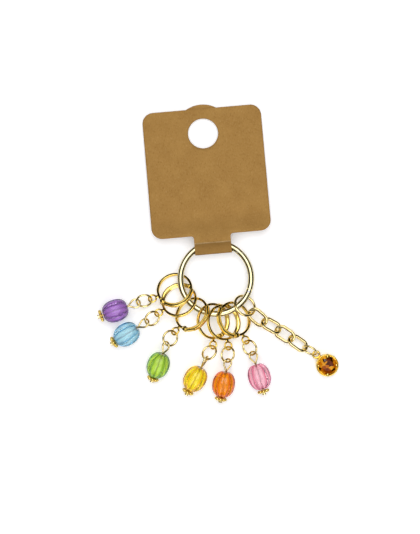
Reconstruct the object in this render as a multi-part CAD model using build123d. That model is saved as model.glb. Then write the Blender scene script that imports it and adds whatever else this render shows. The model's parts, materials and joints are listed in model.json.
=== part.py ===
"""Set of six beaded stitch markers on a gated holder ring, with a hang card and an extender chain.

The holder ring lies in the XY plane with its centre at the origin, +Z up, and the card runs along +Y.
Every marker is a hinged leverback hoop threaded on the holder ring, a jump ring and a beaded eye pin.
All lengths are millimetres and all angles are degrees.
"""
from build123d import *
import os
from math import acos, asin, atan2, cos, degrees, hypot, radians, sin, tan

os.makedirs("parts", exist_ok=True)

# Holder ring and its sprung gate
ring_diameter = 28.0
ring_wire = 2.3
ring_reach = (ring_diameter - ring_wire) / 2
gate_hinge_angle = -27
gate_seam_angle = 42
seam_slant = 55
seam_gap = 0.1
seam_overlap_share = 1.3
gate_pin_diameter = 0.8
gate_pin_inset = 0.15
gate_tongue = 0.9
gate_side_gap = 0.06
gate_turn_gap = 0.08
run_gap = 0.06
gate_spring_wire = 0.4
gate_spring_arc = 14
spring_bore_gap = 0.12

# Leverback hoops
hoop_diameter = 13.2
hoop_thickness = 0.9
plate_width = 1.6
hook_width = 0.72
hoop_reach = (hoop_diameter - hoop_thickness) / 2
lever_width = 1.4
lever_depth = 1.15
lever_wall = 0.22
lever_tongue = 0.64
lever_side_gap = 0.06
lever_turn_gap = 0.08
rivet_diameter = 0.7
rivet_head = 1.2
rivet_head_height = 0.15
rivet_gap = 0.03
rivet_angle = 25
lever_tip_angle = 155
hook_tuck_angle = 3
hinge_boss = 1.9
loop_diameter = 3.5
loop_wire = 0.7
loop_seat = 0.35
loop_neck_width = 1.1

# Jump rings and beaded eye pins
jump_diameter = 6.3
jump_wire = 0.8
link_slack = 0.25
eye_slack = 0.35
ring_split_angle = 1
pin_wire = 0.7
eye_diameter = 4.0
eye_length = 4.8
pin_head_diameter = 1.6
pin_head_height = 0.5
bead_diameter = 8.2
bead_length = 9.2
bead_mouth = 3.6
bead_bore_gap = 0.08
bead_seat_gap = 0.12
rib_count = 10
rib_groove = 0.5
rib_groove_reach_share = 1.2
spacer_diameter = 4.5
spacer_length = 1.5
petal_count = 8
petal_diameter = 1.3

# Extender chain and charm
chain_ring_diameter = 9.0
chain_ring_wire = 1.0
chain_link_length = 8.3
chain_link_width = 5.7
chain_link_wire = 1.15
chain_slack = 0.2
charm_ring_diameter = 6.2
charm_ring_wire = 0.8
charm_loop_diameter = 3.2
charm_loop_wire = 0.8
cup_diameter = 8.2
cup_height = 2.9
cup_wall = 0.45
cup_floor = 0.6
prong_count = 4
prong_width = 0.8
stone_diameter = 6.9
stone_gap = 0.05
stone_sides = 10
cup_loop_height_share = 0.42
stone_crown_share = 0.3
stone_table_share = 0.58

# Hang card
card_thickness = 0.35
card_width = 43.6
card_height = 46.6
card_corner = 4.0
neck_width = 13.4
neck_fillet = 1.0
hang_hole = 11.0
hang_hole_drop = 9.1
ear_radius = 10.7
glue_thickness = 0.05
glue_width = 9.0
glue_length = 22.0
card_clearance = 0.25
panel_start_gap = 3.05
card_bend_run = 10.8

# How each piece lies, read from above in degrees anticlockwise from +X:
# place round the holder ring, turn of the hoop on it, lean, flip that puts the lever on its other side,
# headings of the jump ring, eye and pin, and the rolls of the jump ring and of the eye about their length.
colours = ("purple", "aqua", "green", "yellow", "orange", "pink")
pile_angles = {
    "purple": dict(
        place=190, turn=7, lean=27, flip=0,
        jump=190, jump_roll=-42, eye=192, pin=195, eye_roll=24,
    ),
    "aqua": dict(
        place=206, turn=0, lean=28, flip=180,
        jump=216, jump_roll=-38, eye=206, pin=207, eye_roll=34,
    ),
    "green": dict(
        place=231, turn=-10, lean=38, flip=0,
        jump=230, jump_roll=-26, eye=236, pin=243, eye_roll=44,
    ),
    "yellow": dict(
        place=260.75, turn=5.334, lean=-30.018, flip=0,
        jump=238, jump_roll=38, eye=238, pin=236, eye_roll=-76,
    ),
    "orange": dict(
        place=274.468, turn=2.924, lean=-29.126, flip=0,
        jump=262, jump_roll=36, eye=264, pin=254, eye_roll=-38,
    ),
    "pink": dict(
        place=289.33, turn=4.567, lean=-31.179, flip=180,
        jump=293, jump_roll=36, eye=288, pin=281, eye_roll=-32,
    ),
}

# Distance of each hoop centre outside the holder wire and above its plane, as shares of the hoop's reach
hoop_out_shares = dict(purple=0.43, aqua=0.43, green=0.43, yellow=0.43, orange=0.54, pink=0.54)
hoop_lift_shares = dict(purple=0, aqua=0, green=0.245, yellow=-0.058, orange=-0.02, pink=0.011)

# The same for the chain, from the holder ring outwards: heading, downward slope and roll,
# and the heading of the link to the ring before it where that differs
chain_place = 312
chain_out_share = 0.36
chain_angles = {
    "chain_ring": dict(heading=312, slope=0, roll=-38),
    "chain_link_1": dict(heading=313, slope=6, roll=24),
    "chain_link_2": dict(heading=326, slope=3, roll=-38),
    "chain_link_3": dict(heading=322, slope=2, roll=24),
    "chain_link_4": dict(heading=320, slope=0, roll=-36),
    "charm_ring": dict(heading=326, slope=2, roll=65),
    "charm": dict(toward=321, heading=311, slope=6, roll=0),
}


def save(shape, name):
    """Write one named piece."""
    export_step(shape, "parts/" + name + ".step")


def ring(diameter, wire, split=0):
    """Closed or split ring of round wire in the XY plane, by its outer diameter."""
    return Rot(Z=180 + split / 2) * Torus((diameter - wire) / 2, wire / 2, major_angle=360 - split, align=None)


def wire_arc(reach, wire, start, end):
    """Round wire bent along a circle of the given centreline radius, from start to end."""
    return Rot(Z=start) * Torus(reach, wire / 2, major_angle=end - start, align=None)


def heading_in_plane(frame, heading):
    """Unit direction that lies in the frame's XY plane and has the given heading seen from above."""
    normal = Plane(frame).z_dir
    x, y = cos(radians(heading)), sin(radians(heading))
    return Vector(x, y, -(normal.X * x + normal.Y * y) / normal.Z).normalized()


def sloping(heading, slope):
    """Unit direction with a heading seen from above and a downward slope."""
    flat = cos(radians(slope))
    return Vector(cos(radians(heading)) * flat, sin(radians(heading)) * flat, -sin(radians(slope)))


def frame_along(point, direction, roll):
    """Frame at a point with +X along a direction, rolled about it from level."""
    level = Vector(0, 0, 1).cross(direction).normalized()
    return Plane(origin=point, x_dir=direction, z_dir=direction.cross(level)).location * Rot(X=roll)


def origin_of(frame):
    """Origin of a frame as a vector."""
    return Vector(*frame.position)


def polar(reach, angle):
    """Frame at a radius and angle in the XY plane, unturned."""
    return Pos(reach * cos(radians(angle)), reach * sin(radians(angle)), 0)


# Level of the surface that the set lies on, touched by the lowest hoop
def hoop_drop(name):
    """How far a leaning hoop reaches below the holder ring's plane."""
    lean = radians(abs(pile_angles[name]["lean"]))
    section = (plate_width + hook_width) / 4 * cos(lean)
    return (hoop_reach + hoop_thickness / 2) * sin(lean) + section - hoop_lift_shares[name] * hoop_reach


surface_level = -max(hoop_drop(name) for name in colours)

# Holder ring, gate, pin and spring
hinge_frame = polar(ring_reach, gate_hinge_angle)
seam_overlap_angle = degrees(ring_wire / 2 * tan(radians(seam_slant)) / ring_reach) * seam_overlap_share
cut_size = 3 * ring_wire
gate_pin_length = ring_wire - 2 * gate_pin_inset
spring_start_angle = degrees((ring_wire / 2 + run_gap / 2) / ring_reach)


def seam_side(gate_side):
    """Block that fills one side of the slanted seam between gate and ring."""
    tangent = Vector(-sin(radians(gate_seam_angle)), cos(radians(gate_seam_angle)), 0)
    inward = Vector(-cos(radians(gate_seam_angle)), -sin(radians(gate_seam_angle)), 0)
    into_gate = inward * sin(radians(seam_slant)) - tangent * cos(radians(seam_slant))
    outward = into_gate * (1 if gate_side else -1)
    seam_point = origin_of(polar(ring_reach, gate_seam_angle)) - outward * (seam_gap / 2)
    block = Box(cut_size, cut_size, cut_size, align=(Align.CENTER, Align.CENTER, Align.MIN))
    return Plane(origin=seam_point, x_dir=(0, 0, 1), z_dir=outward).location * block


def ring_body():
    """Fixed arc of the holder ring, with a fork for the gate and a bore for its spring."""
    end = 360 + gate_hinge_angle
    body = wire_arc(ring_reach, ring_wire, gate_seam_angle - seam_overlap_angle, end)
    body -= seam_side(True)
    knuckle = wire_arc(ring_reach, ring_wire, gate_hinge_angle, gate_hinge_angle + seam_overlap_angle)
    body += knuckle & hinge_frame * Cylinder(ring_wire / 2, ring_wire)
    body -= hinge_frame * Cylinder(ring_wire / 2 + gate_turn_gap, gate_tongue + 2 * gate_side_gap)
    body -= hinge_frame * Cylinder(gate_pin_diameter / 2, cut_size)
    bore_end = gate_hinge_angle - spring_start_angle - gate_spring_arc - ring_split_angle
    bore = wire_arc(ring_reach, gate_spring_wire + 2 * spring_bore_gap, bore_end, gate_hinge_angle)
    return body - bore


def ring_gate():
    """Sprung gate, with a tongue round the pin and a slanted tip inside the ring's end."""
    gate = wire_arc(ring_reach, ring_wire, gate_hinge_angle, gate_seam_angle + seam_overlap_angle)
    slab = hinge_frame * Cylinder(ring_wire, gate_tongue)
    neck = wire_arc(ring_reach, ring_wire, gate_hinge_angle, gate_hinge_angle + seam_overlap_angle) & slab
    gate -= seam_side(False)
    gate -= hinge_frame * Cylinder(ring_wire / 2 + gate_turn_gap, cut_size)
    gate += neck
    gate += hinge_frame * Cylinder(ring_wire / 2 - gate_turn_gap, gate_tongue)
    return gate - hinge_frame * Cylinder(gate_pin_diameter / 2 + rivet_gap, cut_size)


save(ring_body(), "ring_body")
save(ring_gate(), "ring_gate")
save(hinge_frame * Cylinder(gate_pin_diameter / 2, gate_pin_length), "gate_pin")
spring_end = gate_hinge_angle - spring_start_angle
spring = wire_arc(ring_reach, gate_spring_wire, spring_end - gate_spring_arc, spring_end)
save(spring, "gate_spring")

# Leverback hoop, made once in its own frame: +X to the hanging loop, lever on the +Y side
loop_reach = hoop_reach + hoop_thickness / 2 + loop_seat + loop_diameter / 2
rivet_frame = polar(hoop_reach, rivet_angle)
lever_inside = hoop_reach - hoop_thickness / 2
lever_neck_angle = 16


def band(inside, depth, width, start, end):
    """Flat strip bent along a circle about Z."""
    section = Plane.XZ * Pos(inside + depth / 2, 0) * Rectangle(depth, width)
    return Rot(Z=start) * revolve(section, Axis.Z, end - start)


def hoop():
    """Front plate that tapers to the hook wire, with the lever's fork and the hanging loop."""
    start = lever_tip_angle - 360 - hook_tuck_angle
    plate = band(lever_inside, hoop_thickness, plate_width, start, rivet_angle)
    far = hoop_reach + hoop_thickness
    corners = [(far, plate_width / 2), (-far, hook_width / 2), (-far, -hook_width / 2), (far, -plate_width / 2)]
    plate &= extrude(Plane.XZ * Polygon(*corners, align=None), far, both=True)
    plate += rivet_frame * Cylinder(hinge_boss / 2, plate_width)
    plate -= rivet_frame * Cylinder(hinge_boss / 2 + lever_turn_gap, lever_tongue + 2 * lever_side_gap)
    plate -= rivet_frame * Cylinder(rivet_diameter / 2, cut_size)
    neck_length = loop_reach - (loop_diameter - loop_wire) / 2 - hoop_reach
    plate += Pos(hoop_reach + neck_length / 2, 0, 0) * Box(neck_length, loop_neck_width, loop_wire)
    return plate + Pos(loop_reach, 0, 0) * ring(loop_diameter, loop_wire)


def lever():
    """Curved channel that closes over the hook wire, with a tongue in the hoop's fork."""
    neck_end = rivet_angle + lever_neck_angle
    body = band(lever_inside, lever_depth, lever_width, rivet_angle, lever_tip_angle)
    inner_width = lever_width - 2 * lever_wall
    inner_start = lever_inside - lever_wall
    body -= band(inner_start, lever_depth, inner_width, neck_end, lever_tip_angle + hook_tuck_angle)
    body -= rivet_frame * Cylinder(hinge_boss / 2 + lever_turn_gap, cut_size)
    tongue = band(lever_inside, lever_depth, lever_tongue, rivet_angle, neck_end)
    body += tongue
    body += rivet_frame * Cylinder(hinge_boss / 2, lever_tongue)
    return body - rivet_frame * Cylinder(rivet_diameter / 2 + rivet_gap, cut_size)


def rivet():
    """Domed pin through the fork, headed on both sides."""
    pin = Cylinder(rivet_diameter / 2, plate_width)
    head_height = (plate_width + rivet_head_height) / 2
    head = Cylinder(rivet_head / 2, rivet_head_height)
    return rivet_frame * (pin + Pos(Z=head_height) * head + Pos(Z=-head_height) * head)


# Beaded eye pin, made once in its own frame: eye at the origin, pin along +X
eye_reach = (eye_diameter - pin_wire) / 2
eye_apex = eye_length - eye_diameter / 2
bead_start = eye_apex + pin_wire / 2 + run_gap
bead_middle = bead_start + bead_length / 2
spacer_middle = bead_start + bead_length + bead_seat_gap + spacer_length / 2
head_start = spacer_middle + spacer_length / 2 + run_gap
along_x = Rot(Y=90)


def rod(start, end, diameter):
    """Round rod between two points."""
    line = Vector(*end) - Vector(*start)
    rod_end = Cylinder(diameter / 2, line.length, align=(Align.CENTER, Align.CENTER, Align.MIN))
    return Plane(origin=start, z_dir=line).location * rod_end


def eye_pin():
    """Wire bent to a teardrop eye, with a straight stem and a flat head."""
    touch = degrees(acos(eye_reach / eye_apex))
    eye = wire_arc(eye_reach, pin_wire, touch, 360 - touch)
    for side in (touch, -touch):
        shoulder = origin_of(polar(eye_reach, side))
        eye += rod(shoulder, (eye_apex, 0, 0), pin_wire)
    eye += Pos(eye_apex, 0, 0) * Sphere(pin_wire / 2)
    eye += rod((eye_apex, 0, 0), (head_start, 0, 0), pin_wire)
    return eye + Pos(head_start + pin_head_height / 2, 0, 0) * along_x * Cylinder(
        pin_head_diameter / 2, pin_head_height
    )


rib_groove_depth = rib_groove / 2
groove_reach = rib_groove * rib_groove_reach_share
bore_diameter = pin_wire + 2 * bead_bore_gap


def bead():
    """Barrel bead with rounded ribs, bored along X."""
    half, mouth, belly = bead_length / 2, bead_mouth / 2, bead_diameter / 2
    rise = belly - mouth
    side_radius = (half**2 + rise**2) / (2 * rise)
    side = ThreePointArc((mouth, -half), (belly, 0), (mouth, half))
    outline = side + Polyline((mouth, half), (0, half), (0, -half), (mouth, -half))
    barrel = revolve(Plane.XZ * make_face(outline), Axis.Z, 360)
    barrel -= Cylinder(bore_diameter / 2, bead_length + cut_size)
    groove_ring = Torus(side_radius + groove_reach - rib_groove_depth, groove_reach)
    groove = Pos(belly - side_radius, 0, 0) * Rot(X=90) * groove_ring
    barrel -= [Rot(Z=360 / rib_count * rib) * groove for rib in range(rib_count)]
    return along_x * barrel


def spacer():
    """Flower-shaped spacer, a ring of lobes round a bore along X."""
    petal_reach = (spacer_diameter - petal_diameter) / 2
    body = Cylinder(petal_reach, spacer_length)
    petal = Cylinder(petal_diameter / 2, spacer_length - petal_diameter / 4)
    body += [polar(petal_reach, 360 / petal_count * place) * petal for place in range(petal_count)]
    return along_x * (body - Cylinder(bore_diameter / 2, spacer_length + cut_size))


# The six markers in the pile
def ring_gap(first_diameter, first_wire, second_diameter, second_wire, slack):
    """Distance between the centres of two linked rings that hang with a little slack."""
    return (first_diameter + second_diameter) / 2 - first_wire - second_wire - slack


def marker_frames(name):
    """Frames of one marker's hoop, loop, jump ring and eye pin, as they lie in the photograph."""
    angles = pile_angles[name]
    out = ring_reach + hoop_out_shares[name] * hoop_reach
    lift = hoop_lift_shares[name] * hoop_reach
    hoop_frame = Rot(Z=angles["place"]) * Pos(out, 0, lift) * Rot(Z=angles["turn"]) * Rot(X=angles["lean"])
    loop_frame = hoop_frame * Pos(loop_reach, 0, 0)
    toward = heading_in_plane(loop_frame, angles["jump"])
    jump_step = ring_gap(loop_diameter, loop_wire, jump_diameter, jump_wire, link_slack)
    jump_frame = frame_along(origin_of(loop_frame) + toward * jump_step, toward, angles["jump_roll"])
    toward = heading_in_plane(jump_frame, angles["eye"])
    eye_step = ring_gap(jump_diameter, jump_wire, eye_diameter, pin_wire, eye_slack)
    eye_point = origin_of(jump_frame) + toward * eye_step
    drop = eye_point.Z - (surface_level + bead_diameter / 2)
    slope = degrees(asin(drop / bead_middle))
    eye_frame = frame_along(eye_point, sloping(angles["pin"], slope), angles["eye_roll"])
    return hoop_frame, loop_frame, jump_frame, eye_frame


hoop_shape, lever_shape, rivet_shape = hoop(), lever(), rivet()
pin_shape, bead_shape, spacer_shape = eye_pin(), bead(), spacer()
jump_shape = ring(jump_diameter, jump_wire, ring_split_angle)

for colour in colours:
    hoop_frame, loop_frame, jump_frame, eye_frame = marker_frames(colour)
    flipped = Rot(X=pile_angles[colour]["flip"])
    save(hoop_frame * flipped * hoop_shape, "hoop_" + colour)
    save(hoop_frame * flipped * lever_shape, "lever_" + colour)
    save(hoop_frame * flipped * rivet_shape, "rivet_" + colour)
    save(jump_frame * jump_shape, "jump_ring_" + colour)
    save(eye_frame * pin_shape, "pin_" + colour)
    save(eye_frame * Pos(bead_middle, 0, 0) * bead_shape, "bead_" + colour)
    save(eye_frame * Pos(spacer_middle, 0, 0) * spacer_shape, "spacer_" + colour)

# Extender chain, from the holder ring outwards
link_bend = (chain_link_width - chain_link_wire) / 2
link_straight = chain_link_length - chain_link_width
chain_names = list(chain_angles)
ring_sizes = {
    "chain_ring": (chain_ring_diameter, chain_ring_wire),
    "charm_ring": (charm_ring_diameter, charm_ring_wire),
    "charm": (charm_loop_diameter, charm_loop_wire),
}


def chain_link():
    """Oval link of round wire: two half turns joined by straight sides."""
    half = link_straight / 2
    link = Pos(half, 0, 0) * wire_arc(link_bend, chain_link_wire, -90, 90)
    link += Pos(-half, 0, 0) * wire_arc(link_bend, chain_link_wire, 90, 270)
    for side in (link_bend, -link_bend):
        link += rod((-half, side, 0), (half, side, 0), chain_link_wire)
    return link


def chain_frames():
    """Frame of each piece of the chain, and the turning frame that it hangs on."""
    out = ring_reach + chain_out_share * chain_ring_diameter / 2
    roll = chain_angles["chain_ring"]["roll"]
    frames = {"chain_ring": Rot(Z=chain_place) * Pos(out, 0, 0) * Rot(X=roll)}
    pivot = frames["chain_ring"]
    size = ring_sizes["chain_ring"]
    for name in chain_names[1:]:
        angles = chain_angles[name]
        near = ring_sizes.get(name, (chain_link_width, chain_link_wire))
        toward = heading_in_plane(pivot, angles.get("toward", angles["heading"]))
        step = ring_gap(*size, *near, chain_slack)
        along = sloping(angles["heading"], angles["slope"])
        near_frame = frame_along(origin_of(pivot) + toward * step, along, angles["roll"])
        if name in ring_sizes:
            frames[name] = near_frame
            pivot = near_frame
        else:
            frames[name] = near_frame * Pos(link_straight / 2, 0, 0)
            pivot = near_frame * Pos(link_straight, 0, 0)
        size = near
    return frames


# Charm: round cup with a hanging loop, prongs and a cut stone
cup_reach = (charm_loop_diameter + cup_diameter) / 2 - charm_loop_wire / 4
cup_drop = cup_height * cup_loop_height_share
girdle_height = cup_height - cup_drop - prong_width / 2
stone_radius = stone_diameter / 2
crown_height = stone_radius * stone_crown_share
table_radius = stone_radius * stone_table_share
prong_length = cup_wall + (cup_diameter - stone_diameter) / 2 + prong_width / 3


def charm_cup():
    """Shallow cup with a floor, four prongs over the stone's edge and a loop of wire."""
    lower = (Align.CENTER, Align.CENTER, Align.MIN)
    cup = Cylinder(cup_diameter / 2, cup_height, align=lower)
    cup -= Pos(Z=cup_floor) * Cylinder(cup_diameter / 2 - cup_wall, cup_height, align=lower)
    for corner in range(prong_count):
        prong = Box(prong_length, prong_width, prong_width / 2, align=(Align.MAX, Align.CENTER, Align.MIN))
        cup += Rot(Z=360 / prong_count * (corner + 0.5)) * Pos(cup_diameter / 2, 0, cup_height) * prong
    return Pos(cup_reach, 0, -cup_drop) * cup + ring(charm_loop_diameter, charm_loop_wire)


def charm_stone():
    """Cut stone with a flat table, a faceted crown and a pointed back."""
    turn = 180 / stone_sides
    girdle = Rot(Z=turn) * RegularPolygon(stone_radius, stone_sides)
    table = Rot(Z=turn) * RegularPolygon(table_radius, stone_sides)
    back_depth = girdle_height + cup_drop - cup_floor - 2 * stone_gap
    point = Rot(Z=turn) * RegularPolygon(stone_radius / stone_sides, stone_sides)
    crown = loft([girdle, Pos(Z=crown_height) * table], ruled=True)
    back = loft([Pos(Z=-back_depth) * point, girdle], ruled=True)
    return Pos(cup_reach, 0, girdle_height - stone_gap) * (crown + back)


frames = chain_frames()
save(frames["chain_ring"] * ring(chain_ring_diameter, chain_ring_wire, ring_split_angle), "chain_ring")
link_shape = chain_link()
for name in chain_names[1:-2]:
    save(frames[name] * link_shape, name)
save(frames["charm_ring"] * ring(charm_ring_diameter, charm_ring_wire, ring_split_angle), "charm_ring")
save(frames["charm"] * charm_cup(), "charm_cup")
save(frames["charm"] * charm_stone(), "charm_stone")

# Hang card, one folded sheet round the holder ring
neck_half = neck_width / 2
wire_top = ring_wire / 2 + card_clearance + card_thickness / 2
wire_inside = ((ring_reach - ring_wire / 2) ** 2 - neck_half**2) ** 0.5
spine_y = wire_inside - card_clearance - card_thickness / 2
crease_y = ring_reach + card_clearance
bend_y = crease_y + card_bend_run
panel_start = ring_reach + panel_start_gap
panel_end = panel_start + card_height
hole_y = panel_end - hang_hole_drop
ear_end = hole_y + ear_radius
back_end_z = surface_level + card_thickness / 2
back_fall = (-wire_top - back_end_z) / (ear_end - spine_y)


def back_z(y):
    """Height of the middle of the back layer."""
    return -wire_top - (y - spine_y) * back_fall


layer_gap = (card_thickness + glue_thickness) * hypot(1, back_fall)


def folded_sheet(points):
    """Sheet bent along lines parallel to X, given by the points of its middle in the YZ plane."""
    sheet = []
    for (y, z), (next_y, next_z) in zip(points, points[1:]):
        run, rise = next_y - y, next_z - z
        middle = Pos(0, (y + next_y) / 2, (z + next_z) / 2) * Rot(X=degrees(atan2(rise, run)))
        sheet.append(middle * Box(card_width, hypot(run, rise), card_thickness))
    for y, z in points[1:-1]:
        sheet.append(Pos(0, y, z) * Rot(Y=90) * Cylinder(card_thickness / 2, card_width))
    return sheet[0] + sheet[1:]


def seen_from_above(outline):
    """Tall block over an outline in the XY plane."""
    return extrude(outline, card_height, both=True)


def tag_card():
    """Front panel, spine over the wire, and the narrower back flap with its round ear."""
    hole = Pos(0, hole_y) * Circle(hang_hole / 2)
    neck_length = panel_start - spine_y + card_corner
    neck = Pos(0, spine_y - card_thickness + neck_length / 2) * Rectangle(neck_width, neck_length)
    panel = Pos(0, panel_start + card_height / 2) * RectangleRounded(card_width, card_height, card_corner)
    front_points = [
        (spine_y, -wire_top),
        (spine_y, wire_top),
        (crease_y, wire_top + card_clearance),
        (bend_y, back_z(bend_y) + layer_gap),
        (ear_end, back_z(ear_end) + layer_gap),
    ]
    front = folded_sheet(front_points) & seen_from_above(neck + panel - hole)
    strip_length = hole_y - spine_y + card_thickness
    strip = Pos(0, hole_y - strip_length / 2) * Rectangle(neck_width, strip_length)
    ear = Pos(0, hole_y) * Circle(ear_radius)
    back_points = [(spine_y, -wire_top), (ear_end + card_thickness, back_z(ear_end + card_thickness))]
    back = folded_sheet(back_points) & seen_from_above(strip + ear - hole)
    fold = Pos(0, spine_y, -wire_top) * Rot(Y=90) * Cylinder(card_thickness / 2, neck_width)
    return front + back + fold


def tag_adhesive():
    """Thin bead of glue that holds the back flap to the front panel."""
    middle_y = (bend_y + hole_y - hang_hole / 2) / 2
    middle_z = back_z(middle_y) + layer_gap / 2
    tilt = Rot(X=-degrees(atan2(back_fall, 1)))
    return Pos(0, middle_y, middle_z) * tilt * Box(glue_width, glue_length, glue_thickness)


save(tag_card(), "tag_card")
save(tag_adhesive(), "tag_adhesive")
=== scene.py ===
# %% [markdown]
# # A set of beaded stitch markers
# Six little beaded markers hang on a gated holder ring, beside a short chain with a stone charm, and a
# folded card carries them all. The construction is already solved and comes in as a fixed frame, so this
# notebook only gives each piece its true surface: plated metal, clear ribbed acrylic, cut stone and card.

# %% Load the frame
import json
import bpy
import numpy as np
from math import pi, radians
from mathutils import Matrix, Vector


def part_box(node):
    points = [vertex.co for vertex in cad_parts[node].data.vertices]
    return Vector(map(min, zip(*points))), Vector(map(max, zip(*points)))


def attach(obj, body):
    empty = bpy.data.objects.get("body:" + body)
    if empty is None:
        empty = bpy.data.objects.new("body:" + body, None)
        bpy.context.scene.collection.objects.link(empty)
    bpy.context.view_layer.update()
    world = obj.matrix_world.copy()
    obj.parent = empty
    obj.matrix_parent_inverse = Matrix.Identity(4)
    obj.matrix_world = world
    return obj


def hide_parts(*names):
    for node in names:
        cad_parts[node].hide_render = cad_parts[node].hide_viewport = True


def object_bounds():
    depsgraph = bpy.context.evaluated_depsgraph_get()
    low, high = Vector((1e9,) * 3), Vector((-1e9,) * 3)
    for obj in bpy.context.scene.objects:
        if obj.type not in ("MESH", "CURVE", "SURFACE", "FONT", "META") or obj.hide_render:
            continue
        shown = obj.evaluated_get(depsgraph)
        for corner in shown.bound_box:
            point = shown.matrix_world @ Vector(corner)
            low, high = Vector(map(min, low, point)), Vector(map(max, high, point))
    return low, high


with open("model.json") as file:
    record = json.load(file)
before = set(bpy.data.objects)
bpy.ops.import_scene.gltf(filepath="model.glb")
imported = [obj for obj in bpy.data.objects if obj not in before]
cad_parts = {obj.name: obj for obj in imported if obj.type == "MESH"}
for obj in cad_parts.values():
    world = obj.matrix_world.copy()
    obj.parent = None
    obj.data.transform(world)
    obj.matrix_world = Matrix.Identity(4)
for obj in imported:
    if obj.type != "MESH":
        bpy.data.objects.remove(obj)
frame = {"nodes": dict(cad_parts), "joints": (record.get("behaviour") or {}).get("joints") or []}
cad_low, cad_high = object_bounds()
nodes = frame["nodes"]
joints = {joint["name"]: joint for joint in frame["joints"]}
colours = ("purple", "aqua", "green", "yellow", "orange", "pink")
print("pieces in the frame:", len(nodes))

# %% [markdown]
# ## Working in millimetres
# Jewellery findings are sized in tenths of a millimetre, so shapes are worked out in millimetres and
# turned to metres only when their points go into a mesh. Each piece could be modelled flat and its object
# then turned, but a finished piece has to sit at the origin with its place in its mesh. So a place is a
# 4 by 4 matrix of three directions and an origin, which numpy applies to a whole array of points at once.

# %% Places and directions
MM = 0.001
UP = np.array([0.0, 0.0, 1.0])


def unit(vector):
    """The same direction with a length of one."""
    vector = np.asarray(vector, float)
    return vector / np.linalg.norm(vector)


def joint_point(name):
    """Where a joint turns, in millimetres."""
    return np.array(joints[name]["pos_m"]) / MM


def joint_axis(name):
    """The direction that a joint turns about."""
    return unit(joints[name]["axis"])


def place(origin, x_direction, y_direction):
    """Matrix from a piece's own directions to the frame; the third direction is their cross product."""
    matrix = np.eye(4)
    matrix[:3, 0] = unit(x_direction)
    matrix[:3, 1] = unit(y_direction)
    matrix[:3, 2] = np.cross(matrix[:3, 0], matrix[:3, 1])
    matrix[:3, 3] = origin
    return matrix


def moved(points, matrix):
    """Points carried through a place matrix, whatever the shape of their array."""
    return points @ matrix[:3, :3].T + matrix[:3, 3]


print("the gate turns at, in mm:", joint_point("gate_hinge").round(2))

# %% [markdown]
# ## Surfaces from grids
# Nearly everything on this object is a section carried along a line: wire along a circle, a strap along
# an arc, a bead's outline round its bore. Curves with a bevel could draw the wires, but not a strap that
# tapers or a bead with lobes, so each is a grid of points instead, rows along the line and columns round
# the section. The grid closes on itself both ways, or its two ends are capped, so each shell is
# watertight, and the sign of its volume says whether its faces already point outwards.


# %% Grids into closed shells
def outward(points, faces):
    """The same shell with its faces turned to point outwards. Its volume, summed over fans of triangles
    as a . (b x c), is negative where they point inwards."""
    volume = 0.0
    centred = points - points.mean(axis=0)
    for size in (3, 4):
        flat = np.array([face for face in faces if len(face) == size], int)
        if len(flat):
            for second in range(1, size - 1):
                a, b, c = centred[flat[:, 0]], centred[flat[:, second]], centred[flat[:, second + 1]]
                volume += np.einsum("ij,ij->i", a, np.cross(b, c)).sum()
    if volume < 0:
        faces = [face[::-1] for face in faces]
    return points, faces


def shell(grid, ring=False):
    """Points and faces of a grid (rows, columns, 3) that closes across its columns, and along its rows
    if it is a ring; otherwise each end is capped by a fan about its middle."""
    rows, columns = grid.shape[:2]
    index = np.arange(rows * columns).reshape(rows, columns)
    across = np.roll(index, -1, axis=1)
    if ring:
        along, corner = np.roll(index, -1, axis=0), np.roll(across, -1, axis=0)
    else:
        index, along = index[:-1], index[1:]
        across, corner = across[:-1], across[1:]
    faces = np.stack([index, along, corner, across], axis=-1).reshape(-1, 4).tolist()
    points = grid.reshape(-1, 3)
    if not ring:
        first, last = len(points), len(points) + 1
        points = np.vstack([points, grid[[0, -1]].mean(axis=1)])
        start = np.arange(columns)
        end = start + (rows - 1) * columns
        after = np.roll(start, -1)
        faces += np.stack([start, after, np.full(columns, first)], axis=-1).tolist()
        faces += np.stack([after + end[0], end, np.full(columns, last)], axis=-1).tolist()
    return outward(points, faces)


def placed(shells, matrix):
    """Shells carried to their place, with their faces still pointing outwards there."""
    return [outward(moved(points, matrix), faces) for points, faces in shells]


test_points, test_faces = shell(np.stack(np.meshgrid(range(4), range(3), [0.0]), axis=-1)[:, :, 0])
print("a capped grid of 3 by 4 points has", len(test_faces), "faces")

# %% [markdown]
# ## From shells to one object
# A cast or stamped finding is often several simple forms run together. They could be joined with
# booleans, which leave ragged faces along every seam. Here closed shells simply overlap in one mesh:
# plated metal hides the seam, and each shell stays clean. The object then rides on its body, and the
# plain frame piece that it replaces is hidden.


# %% One object from its shells
def build(name, shells, node, body, finish, smooth=True):
    """One mesh from several closed shells, riding on a body in place of a frame piece."""
    points, faces, count = [], [], 0
    for shell_points, shell_faces in shells:
        points.append(shell_points)
        faces += [[corner + count for corner in face] for face in shell_faces]
        count += len(shell_points)
    mesh = bpy.data.meshes.new(name)
    mesh.from_pydata((np.vstack(points) * MM).tolist(), [], faces)
    mesh.materials.append(finish)
    if smooth:
        mesh.shade_smooth()
    mesh.update()
    piece = bpy.data.objects.new(name, mesh)
    bpy.context.scene.collection.objects.link(piece)
    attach(piece, body)
    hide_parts(node)
    return piece


print("pieces that move on their own:", len({joint["child"] for joint in joints.values()}))

# %% [markdown]
# ## Sections and lines
# Small metalwork is drawn wire, rolled strip or a turned form. A superellipse gives the first two from
# one formula: a power of 2 is round wire, and a higher power is a strip with softened edges, like plate
# that has been tumbled and polished. A bevelled box would need its own edges rounded each time.


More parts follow.
